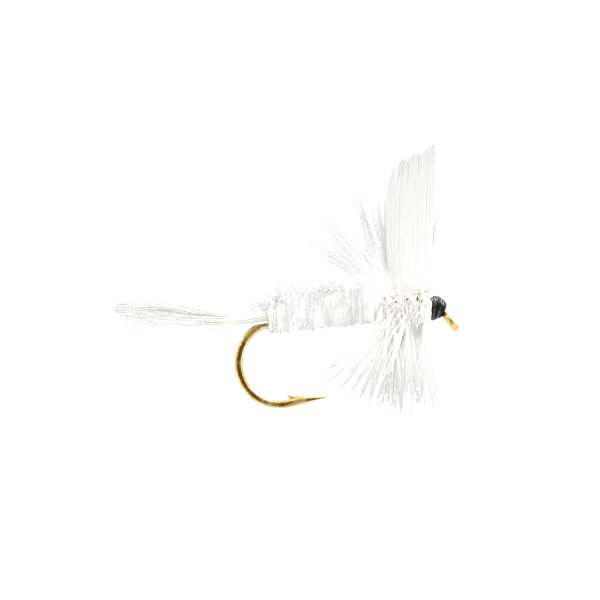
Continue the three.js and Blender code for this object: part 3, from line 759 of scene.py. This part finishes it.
def add_felted(strands, rng):
    """A short fibre that lies across the turns of the yarn, any way round."""
    start_x = rng.uniform(BODY_X[0] - 0.2, BODY_X[-1] - 0.1)
    start = rng.uniform(0, 2 * np.pi)
    share = np.linspace(0, 1, FELTED_STEPS)
    drift = rng.normal(0, 0.45)
    if min(start_x - BODY_X[0], BODY_X[-1] - start_x) < FELTED_END:
        drift = abs(drift) if start_x < BODY_X[1] else -abs(drift)
    x = start_x + share * drift + 0.04 * np.sin(share * rng.uniform(4, 9))
    angle = start + share * rng.uniform(0.3, 0.9)
    r = body_r(x) - 0.01 + rng.uniform(0, 0.04) + 0.05 * np.sin(np.pi * share) * rng.uniform(0, 1)
    end_gap = np.minimum(x - BODY_X[0], BODY_X[-1] - x) / YARN_PITCH
    r = r - tucked(x) * (1 - smoothstep(end_gap / TUCKED_TURNS + 0.4))
    path = np.stack([x, r * np.sin(angle), body_z(x) + r * np.cos(angle)], axis=-1)
    radius = np.linspace(0.02, 0.012, FELTED_STEPS)
    strands.add(path, radius, sides=3, shade=rng.uniform(0, 1))


def add_stray(strands, path, outward_way, rng):
    """A short loose fibre that lifts off the yarn and lies back down beside it."""
    i = rng.integers(2, len(path) - 14)
    run = rng.integers(6, 13)
    bow = np.sin(np.linspace(0, np.pi * rng.uniform(0.6, 1.1), run))[:, None]
    drift = np.linspace(0, rng.uniform(-0.35, 0.35), run)[:, None] * FORWARD
    lift = YARN_DEPTH / 2 + bow * rng.uniform(0.03, 0.3)
    points = path[i : i + run] + outward_way[i : i + run] * lift + drift
    points = points + rng.normal(0, 0.01, points.shape)
    strands.add(points, np.linspace(0.018, 0.01, run), sides=3, shade=rng.uniform(0, 1))


def curly_fibre(start_x, end_x, height, loop, rng):
    """A springy fibre that rises off the back in open loops and comes down again."""
    loops = max(1.5, (end_x - start_x) / (2.2 * loop)) * rng.uniform(0.8, 1.3)
    steps = int(16 * loops) + 12
    share = np.linspace(0, 1, steps)
    turned = 2 * np.pi * (loops * share + 0.25 * np.sin(2 * np.pi * share * rng.uniform(0.6, 1.6)))
    angle = rng.uniform(0, 6) + turned * rng.choice((-1, 1))
    size = loop * (0.75 + 0.35 * np.sin(share * rng.uniform(5, 11) + rng.uniform(0, 6)))
    arch = np.sin(np.pi * share) ** 0.7
    x = start_x + (end_x - start_x) * share + size * np.cos(angle)
    rise = height * rng.uniform(0.5, 1.0) * arch
    side = rng.normal(0, 0.3) + 0.1 * np.sin(share * 7 + rng.uniform(0, 6))
    y = np.clip(side + 0.7 * size * np.sin(angle * 0.9 + 1), -0.9, 0.9)
    top = body_z(x) + np.sqrt(np.maximum(body_r(x) ** 2 - y**2, 0.05))
    z = np.maximum(top + rise + size * np.sin(angle), top - 0.04)
    return np.stack([x, y, z], axis=-1)


def make_back_fuzz():
    rng = np.random.default_rng(8)
    for number, (start_x, end_x, height, loop, count) in enumerate(BACK_FUZZ, 1):
        strands = Strands()
        for _ in range(count):
            a = start_x + rng.uniform(0, 0.5) * (end_x - start_x)
            b = a + rng.uniform(0.35, 0.6) * (end_x - start_x)
            path = curly_fibre(a, b, height, loop, rng)
            strands.add(path, rng.uniform(*FUZZ_FIBRE_R), sides=5, shade=rng.uniform(0, 1))
        add_piece(f"back_fuzz_{number}", strands, "fuzz")


# ------------ thorax


def thorax_z(x):
    return np.interp(x, THORAX_X, THORAX_Z)


def thorax_r(x):
    return np.interp(x, THORAX_X, THORAX_R)


def make_thorax():
    """A bed of floss, laid on in fine turns."""
    rng = np.random.default_rng(13)
    strands = Strands()
    x = np.linspace(THORAX_X[0] + 0.02, THORAX_X[-1] - 0.02, 40)
    core = np.stack([x, 0 * x, thorax_z(x)], axis=-1)
    strands.add(core, thorax_r(x) - 0.04, sides=40)
    count = FLOSS_TURNS * STEPS_PER_TURN
    x = np.linspace(THORAX_X[0] + 0.05, THORAX_X[-1] - 0.05, count)
    for phase in (0.0, np.pi):
        angle = np.linspace(0, 2 * np.pi * FLOSS_TURNS, count) + phase
        r = thorax_r(x) - 0.03 + 0.012 * np.sin(angle * 0.31)
        lay = x + rng.normal(0, 0.006, count)
        path = np.stack([lay, r * np.sin(angle), thorax_z(x) + r * np.cos(angle)], axis=-1)
        strands.add(path, FLOSS_WIDTH, FLOSS_DEPTH, sides=5, shade=rng.uniform(0.3, 1))
    add_piece("thorax_floss", strands, "floss")


# ------------ wings


def slip_point(z, share, side, lean):
    """A point of an upright slip, at a height and a share of the way from its rear to its front edge."""
    rise = z - WING_Z[0]
    rear = np.interp(z, WING_Z, WING_REAR)
    front = np.interp(z, WING_Z, WING_FRONT)
    x = rear * (1 - share) + front * share - lean * rise
    cup = WING_CUP * np.sin(np.pi * share) * np.minimum(1, rise / 2)
    spread = WING_SPREAD * (rise / WING_SPREAD_HEIGHT) ** 1.25
    return np.stack([x, side * (WING_HALF_GAP + spread + cup), z], axis=-1)


def butt_path(share, side, foot_x):
    """The same fibre below the foot: it turns back and lies along the top of the shank."""
    angle = np.radians(np.linspace(90, 0, 7))[:-1]
    drop = WING_Z[0] - (BUTT_TOP_Z - BUTT_STACK * share)
    straight_x = np.linspace(BUTT_END_X, BUTT_CORNER_X, 5)[:-1]
    x = np.concatenate([straight_x, BUTT_CORNER_X + (foot_x - BUTT_CORNER_X) * np.cos(angle)])
    z = WING_Z[0] - drop * np.concatenate([np.ones(len(straight_x)), np.sin(angle)])
    return np.stack([x, np.full_like(x, side * WING_HALF_GAP), z], axis=-1)


def add_slip_fibre(strands, share, side, lean, tips, splits, rng):
    """One fibre, at a share of the way from the rear edge to the front edge."""
    tip = np.interp(share, TIP_SHARES, tips) + rng.normal(0, 0.07)
    z = WING_Z[0] + (tip - WING_Z[0]) * np.linspace(0, 1, 44) ** 1.15
    path = slip_point(z, share, side, lean)
    near_tip = smoothstep((z - (tip - PARTED_REACH)) / PARTED_REACH)
    for place, gap in splits:
        path[:, 0] += near_tip * gap * np.sign(share - place) * max(0, 1 - 6 * abs(share - place))
    path[:, 1] += side * rng.normal(0, 0.025) * near_tip + rng.normal(0, 0.006)
    path[:, 0] += rng.normal(0, 0.012) * smoothstep((z - 3) / 3)
    chord = np.interp(z, WING_Z, WING_FRONT) - np.interp(z, WING_Z, WING_REAR)
    pointed = np.interp(z, (tip - 0.45, tip - 0.15, tip), (1, 0.9, 0.35))
    width = chord / BARBS_PER_SLIP * BARB_OVERLAP * pointed
    depth = np.interp(z, (2.3, 3.6, 9.0, tip), (0.12, 0.05, 0.032, 0.022))
    butt = butt_path(share, side, path[0][0])
    path = np.vstack([butt, path])
    width = np.concatenate([np.full(len(butt), BUTT_WIDTH), width])
    depth = np.concatenate([np.full(len(butt), BUTT_DEPTH), depth])
    up = (0.0, float(side), 0.0)
    strands.add(path, width, depth, sides=8, up=up, shade=rng.uniform(0, 1), roundness=3.0)


def make_slip(name, side, lean, tips, splits, material, seed):
    """One wing: its fibres lie side by side from its rear edge to its front edge."""
    rng = np.random.default_rng(seed)
    strands = Strands()
    for j in range(BARBS_PER_SLIP):
        add_slip_fibre(strands, (j + 0.5) / BARBS_PER_SLIP, side, lean, tips, splits, rng)
    add_piece(name, strands, material)


# ------------ hackle


def stem_x(turn, offset):
    crossed = smoothstep(turn - REAR_TURNS)
    rear = REAR_COIL_X + STEM_PITCH * np.minimum(turn, REAR_TURNS)
    front = FRONT_COIL_X + STEM_PITCH * np.maximum(turn - REAR_TURNS - 1, 0)
    return offset + rear * (1 - crossed) + front * crossed


def stem_point(turn, offset):
    turn = np.asarray(turn, float)
    angle = 2 * np.pi * turn
    x = stem_x(turn, offset)
    return np.stack([x, -STEM_COIL_R * np.sin(angle), thorax_z(x) + STEM_COIL_R * np.cos(angle)], axis=-1)


def outward(turn):
    angle = 2 * math.pi * turn
    return np.array([0, -math.sin(angle), math.cos(angle)])


def around(turn):
    angle = 2 * math.pi * turn
    return np.array([0, -math.cos(angle), -math.sin(angle)])


def points_up(turn):
    return math.cos(2 * math.pi * turn) > POINTS_UP


def points_sideways(turn):
    return abs(math.sin(2 * math.pi * turn)) > POINTS_SIDEWAYS


def clump_tip(turn, offset, lean, rng):
    """Where the barbs of a clump end. lean runs from 0, most upright, to 1, swept back furthest."""
    upright = abs(math.cos(2 * math.pi * turn))
    least = np.interp(turn, SWEEP_TURNS, LEAST_SWEEP)
    most = least + np.interp(turn, SWEEP_TURNS, MOST_SWEEP)
    least = SIDE_SWEEP[0] + (least - SIDE_SWEEP[0]) * upright
    most = SIDE_SWEEP[1] + (most - SIDE_SWEEP[1]) * upright
    sweep = math.radians(least + (most - least) * lean)
    length = rng.uniform(*BARB_LENGTH)
    reach = outward(turn) * math.cos(sweep) - FORWARD * math.sin(sweep)
    return stem_point(turn, offset) + reach * length + around(turn) * rng.normal(0, 0.3)


def add_barb(strands, turn, offset, tip, span, rng):
    """A flat, slightly wavy barb. span is its part of the barbs' colours."""
    root = stem_point(turn, offset) - outward(turn) * STEM_R / 2
    lean = abs(tip[0] - root[0])
    middle = root + (tip - root) * 0.45 + outward(turn) * (0.1 * lean + 0.1)
    middle = middle + around(turn) * rng.normal(0, 0.25) + FORWARD * rng.normal(-0.1, 0.2)
    share = np.linspace(0, 1, BARB_STEPS + 1)
    path = bezier(root, middle, tip, BARB_STEPS)
    sideways = around(turn) + FORWARD * 0.8
    path = path + (0.05 * rng.normal() * np.sin(share * rng.uniform(4, 9)))[:, None] * sideways
    # The thin tip curls over.
    path = path + (rng.normal(0, 0.22) * np.clip((share - 0.75) / 0.25, 0, 1) ** 2)[:, None] * sideways
    width = np.interp(share, BARB_WIDTH_SHARES, BARB_WIDTHS) * rng.uniform(0.7, 1.4)
    flat = around(turn) + np.array([0.0, 0.3, 0.0])
    strands.add(path, width, width * 0.5, sides=5, up=flat, shade=rng.uniform(0, 1), along=span)


def add_web(strands, rng):
    """A short, soft fibre of the web: it lies round the thorax, and its tip stands off it underneath."""
    share = np.linspace(0, 1, WEB_STEPS)
    start = rng.uniform(0, 2 * np.pi)
    down = 1 if math.sin(start) > 0 else -1
    angle = start + share * down * rng.uniform(0.2, 1.1)
    x = rng.uniform(*WEB_X) + share * rng.normal(-0.1, 0.4)
    # It stays between the body and the head, further from the head where it stands off.
    underneath = 0.5 - 0.5 * np.cos(angle)
    x = np.clip(x, -4.6 - 0.9 * underneath, -1.16 - 0.44 * underneath)
    off = rng.uniform(0.03, 0.32) + share**1.5 * rng.uniform(0.05, 1.5) * underneath
    r = np.interp(x, WEB_X, WEB_R) + off
    path = np.stack([x, r * np.sin(angle), thorax_z(x) + r * np.cos(angle)], axis=-1)
    width = np.linspace(0.06, 0.016, WEB_STEPS)
    strands.add(path, width, width * 0.6, sides=4, shade=rng.uniform(0, 1), along=WEB_SPAN)


def add_stubs(strands, side, rng):
    """Broken, amber ends of barbs at the wings' feet, near-black at their tips: painted shade between the
    stems.
    """
    for x in STUB_X:
        angle = side * math.radians(rng.uniform(*STUB_ANGLES))
        away = np.array([0, math.sin(angle), math.cos(angle)])
        foot = np.array([x, 0, thorax_z(x)]) + away * thorax_r(x)
        tip = foot + away * STUB_LENGTH + rng.normal(0, 0.06, 3)
        strands.add(np.linspace(foot, tip, 6), rng.uniform(*STUB_R), sides=6, shade=0, along=STUB_SPAN)


def is_bare(turn):
    """Where a feather has no barbs: near the top, beside the wings and ahead of them."""
    from_top = abs(turn - round(turn))
    if turn > REAR_TURNS + 0.5:
        return from_top < BARE_AHEAD_OF_WINGS
    return turn > BARE_FROM_TURN and from_top < BARE_BESIDE_WINGS


def add_barbs(strands, offset, rng):
    """The barbs of a feather. They cling together in clumps, whose tips spread evenly."""
    lean = rng.uniform()
    left_in_clump = 0
    for i in range(BARBS_PER_FEATHER):
        even = np.interp((i + 0.5) / BARBS_PER_FEATHER, BARB_SHARES, SWEEP_TURNS)
        # More barbs point down than up.
        turn = even + 0.5 * math.sin(2 * math.pi * even) / (2 * math.pi)
        if left_in_clump == 0:
            left_in_clump = BARBS_PER_UPPER_CLUMP if points_up(turn) else BARBS_PER_CLUMP
            lean = (lean + GOLDEN_SHARE) % 1
            tip = clump_tip(turn, offset, lean**LEAN_BIAS, rng)
        left_in_clump -= 1
        if is_bare(turn) or (points_sideways(turn) and rng.uniform() < BROKEN_AT_SIDES):
            continue
        root = stem_point(turn, offset)
        own_tip = root + (tip - root) * rng.uniform(0.84, 1.0) + rng.normal(0, 0.13, 3)
        span = UPPER_BARB_SPAN if points_up(turn) else LOWER_BARB_SPAN
        add_barb(strands, turn, offset, own_tip, span, rng)


def add_front_barbs(strands, offset, rng):
    """Barbs that stand ahead of the wings."""
    sweep = math.radians(FRONT_BARB_SWEEP)
    rise = np.array([-math.sin(sweep), 0, math.cos(sweep)]) * FRONT_BARB_LENGTH
    for _ in range(FRONT_BARBS):
        tip = stem_point(ALL_TURNS, offset) + rise + rng.normal(0, 0.12, 3)
        add_barb(strands, ALL_TURNS, offset, tip, UPPER_BARB_SPAN, rng)


def make_feather(name, offset, seed, stub_side, has_front_barbs):
    rng = np.random.default_rng(seed)
    strands = Strands()
    turns = np.linspace(0, ALL_TURNS, ALL_TURNS * STEM_STEPS_PER_TURN)
    strands.add(stem_point(turns, offset), STEM_R, sides=8, shade=0.6, along=STEM_SPAN)
    add_barbs(strands, offset, rng)
    for _ in range(WEB_PER_FEATHER):
        add_web(strands, rng)
    add_stubs(strands, stub_side, rng)
    if has_front_barbs:
        add_front_barbs(strands, offset, rng)
    add_piece(name, strands, "hackle")


# ------------ head


def head_stations(count):
    share = np.linspace(0, 1, count)
    a, b, c = (np.array(p, float) for p in HEAD_AXIS)
    return bezier(a, b, c, count - 1), np.interp(share, np.linspace(0, 1, len(HEAD_R)), HEAD_R)


def head_sides(axis):
    """Upward and sideways directions square to the head's axis."""
    tangent = unit(np.gradient(axis, axis=0))
    up = unit(np.cross(tangent, (0.0, 1.0, 0.0)) * -1)
    return up, np.cross(tangent, up)


def head_ring(shares, angles, grow):
    """Points round the head at shares of its length. The thread has pulled it slightly square."""
    axis, radius = head_stations(HEAD_STATIONS)
    up, side = head_sides(axis)
    i = (shares * (HEAD_STATIONS - 1)).astype(int)
    square = 1 + 0.05 * np.cos(4 * angles + 0.6) + 0.03 * np.cos(3 * angles - 1)
    r = (radius[i] * square + grow)[:, None]
    return axis[i] + r * (np.cos(angles)[:, None] * up[i] + np.sin(angles)[:, None] * side[i])


def make_head():
    rng = np.random.default_rng(31)
    thread = Strands()
    core_axis, core_radius = head_stations(24)
    thread.add(core_axis, core_radius - 0.1, sides=32)
    angles = np.linspace(0, 2 * np.pi * HEAD_TURNS, HEAD_TURNS * 30)
    shares = np.linspace(0.02, 0.98, len(angles))
    close = head_ring(shares, angles, 0.025 * np.sin(angles * 0.43) - HEAD_THREAD_R)
    thread.add(close, HEAD_THREAD_R, sides=8)
    for start, end, turns in CROSSING_TURNS:
        angles = np.linspace(0, 2 * np.pi * turns, int(turns * 34)) + rng.uniform(0, 6)
        crossing = head_ring(np.linspace(start, end, len(angles)), angles, 0.0)
        thread.add(crossing, CROSSING_THREAD_R, sides=8)
    add_piece("head_thread", thread, "black")
    make_cement(rng)


def make_cement(rng):
    """The lacquer's skin: an uneven shell with lumps, which dips a little between the turns of thread."""
    sides, rows = 80, 60
    axis, _ = head_stations(HEAD_STATIONS)
    share = np.linspace(0.04, 0.97, rows)
    angles = np.linspace(0, 2 * np.pi, sides, endpoint=False)
    points = np.stack([head_ring(np.full(sides, s), angles, 0.03) for s in share])
    centres = axis[(share * (HEAD_STATIONS - 1)).astype(int)][:, None]
    lumps = 0.02 * np.sin(2 * np.pi * HEAD_TURNS * share)[:, None] * np.ones(sides)
    for _ in range(LACQUER_LUMPS):
        centre = points[rng.integers(0, rows), rng.integers(0, sides)]
        reach = rng.uniform(0.09, 0.24)
        lumps += rng.uniform(-0.04, 0.08) * np.exp(-np.sum((points - centre) ** 2, axis=2) / reach**2)
    points = points + unit(points - centres) * lumps[..., None]
    strands = Strands()
    strands.add_rings(points)
    add_piece("head_cement", strands, "lacquer")


# ------------ CAD nodes that stay


def finish_cad_nodes():
    """The foundation stays as in CAD, with thread and floss on it."""
    for name, material in (("thread_base", "thread"), ("body_underlay", "floss")):
        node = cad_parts[name]
        node.data.materials.clear()
        node.data.materials.append(MATERIALS[material])


# ------------ studio

VIEW_CENTRE = (-10.85, 0.0, 2.56)
VIEW_WIDTH = 44.1
CAMERA_ROLL = math.radians(5.3)
LENS_MM = 110.0
SENSOR_MM = 36.0
FLOOR_Z = -9.5
FLOOR_CORNERS = ((-600, -600), (600, -600), (600, 600), (-600, 600))
TENT_LIGHT = 1.38
TENT_IN_GLOSS = 1.15
BACKDROP_LIGHT = 1.05
OPENING_COLOUR = (0.21, 0.1, 0.018)
OPENING_LIGHT = 0.75
OPENING_EDGE = (0.7, 0.92)
LAMP_AIM = (-4.0, 0.0, 2.0)
LIGHT_BOUNCES = 12

# The lamps: a name, a place, a size and a radiance.
LAMPS = (
    ("key", (45, -60, 90), 44, 4.4),
    ("edge", (-60, 30, 70), 40, 2.0),
    ("strip", (42, 40, 60), 20, 30.0),
)
WHITE = (1.0, 1.0, 1.0)


def make_camera():
    camera = bpy.data.cameras.new("camera")
    camera.lens = LENS_MM
    camera.sensor_width = SENSOR_MM
    camera.clip_start = 0.001
    obj = bpy.data.objects.new("camera", camera)
    right = Vector((math.cos(CAMERA_ROLL), 0, -math.sin(CAMERA_ROLL)))
    up = Vector((math.sin(CAMERA_ROLL), 0, math.cos(CAMERA_ROLL)))
    back = right.cross(up)
    distance = VIEW_WIDTH * MM * LENS_MM / SENSOR_MM
    rotation = Matrix((right, up, back)).transposed().to_4x4()
    obj.matrix_world = Matrix.Translation(Vector(VIEW_CENTRE) * MM + back * distance) @ rotation
    bpy.context.scene.collection.objects.link(obj)
    bpy.context.scene.camera = obj


def make_world():
    """A white tent with a clean backdrop. Gloss also sees the dark opening on the photographer's side."""
    world = bpy.data.worlds.new("tent")
    bpy.context.scene.world = world
    world.use_nodes = True
    tree = world.node_tree
    tree.nodes.clear()
    link = tree.links.new

    def background(colour, strength):
        node = tree.nodes.new("ShaderNodeBackground")
        node.inputs["Color"].default_value = (*colour, 1)
        node.inputs["Strength"].default_value = strength
        return node.outputs["Background"]

    def choose(factor, otherwise, chosen):
        mix = tree.nodes.new("ShaderNodeMixShader")
        link(factor, mix.inputs["Fac"])
        link(otherwise, mix.inputs[1])
        link(chosen, mix.inputs[2])
        return mix.outputs["Shader"]

    coordinates = tree.nodes.new("ShaderNodeTexCoord")
    towards = tree.nodes.new("ShaderNodeVectorMath")
    towards.operation = "DOT_PRODUCT"
    towards.inputs[1].default_value = (0, -1, 0)
    link(coordinates.outputs["Generated"], towards.inputs[0])
    opening = tree.nodes.new("ShaderNodeMapRange")
    opening.interpolation_type = "SMOOTHSTEP"
    opening.inputs["From Min"].default_value = OPENING_EDGE[0]
    opening.inputs["From Max"].default_value = OPENING_EDGE[1]
    link(towards.outputs["Value"], opening.inputs["Value"])
    rays = tree.nodes.new("ShaderNodeLightPath")
    dark = background(OPENING_COLOUR, OPENING_LIGHT)
    glossy = choose(opening.outputs["Result"], background(WHITE, TENT_IN_GLOSS), dark)
    seen = choose(rays.outputs["Is Glossy Ray"], background(WHITE, TENT_LIGHT), glossy)
    seen = choose(rays.outputs["Is Camera Ray"], seen, background(WHITE, BACKDROP_LIGHT))
    link(seen, tree.nodes.new("ShaderNodeOutputWorld").inputs["Surface"])


def softbox(name, place_mm, size_mm, radiance):
    """A square lamp that faces the fly, with a power that gives it that radiance."""
    lamp = bpy.data.lights.new(name, "AREA")
    lamp.size = size_mm * MM
    lamp.energy = radiance * math.pi * lamp.size**2
    obj = bpy.data.objects.new(name, lamp)
    place = Vector(place_mm) * MM
    obj.location = place
    aim = place - Vector(LAMP_AIM) * MM
    obj.rotation_euler = aim.to_track_quat("Z", "Y").to_euler()
    obj.visible_camera = False
    bpy.context.scene.collection.objects.link(obj)


def make_floor():
    """A pale floor, which is clear from below and in reflections, like the tent it stands in."""
    shader = Shader("floor_paper", Roughness=0.9)
    shader.drive("Base Color", shader.ramp(shader.noise(0.05), [(0.3, 0.95), (0.7, 0.965)]))
    clear = shader.node("ShaderNodeBsdfTransparent")
    mix = shader.node("ShaderNodeMixShader")
    unseen = shader.node("ShaderNodeMath", operation="MAXIMUM")
    shader.link(shader.node("ShaderNodeNewGeometry").outputs["Backfacing"], unseen.inputs[0])
    shader.link(shader.node("ShaderNodeLightPath").outputs["Is Glossy Ray"], unseen.inputs[1])
    shader.link(unseen.outputs["Value"], mix.inputs["Fac"])
    shader.link(shader.principled.outputs["BSDF"], mix.inputs[1])
    shader.link(clear.outputs["BSDF"], mix.inputs[2])
    shader.link(mix.outputs["Shader"], shader.tree.nodes["Material Output"].inputs["Surface"])
    mesh = bpy.data.meshes.new("floor")
    corners = [Vector((x, y, FLOOR_Z)) * MM for x, y in FLOOR_CORNERS]
    mesh.from_pydata(corners, [], [(0, 1, 2, 3)])
    mesh.materials.append(shader.material)
    floor = bpy.data.objects.new("floor", mesh)
    bpy.context.scene.collection.objects.link(floor)


def make_studio():
    make_camera()
    make_world()
    for lamp in LAMPS:
        softbox(*lamp)
    make_floor()
    # White fibres are bright inside because light bounces between them many times.
    bpy.context.scene.cycles.max_bounces = LIGHT_BOUNCES
    bpy.context.scene.cycles.diffuse_bounces = LIGHT_BOUNCES
    bpy.context.scene.view_settings.view_transform = "Standard"


# ------------ the fly

make_studio()
make_hook()
make_bindings()
make_tail()
make_yarn()
make_back_fuzz()
make_thorax()
make_slip("wing_slip_right", -1, 0.0, RIGHT_TIPS, RIGHT_SPLITS, "quill", 41)
make_slip("wing_slip_left", 1, LEFT_LEAN, LEFT_TIPS, LEFT_SPLITS, "far_quill", 43)
make_feather("hackle_feather_1", 0.0, 51, stub_side=1, has_front_barbs=False)
make_feather("hackle_feather_2", FEATHER_OFFSET, 52, stub_side=-1, has_front_barbs=True)
make_head()
finish_cad_nodes()
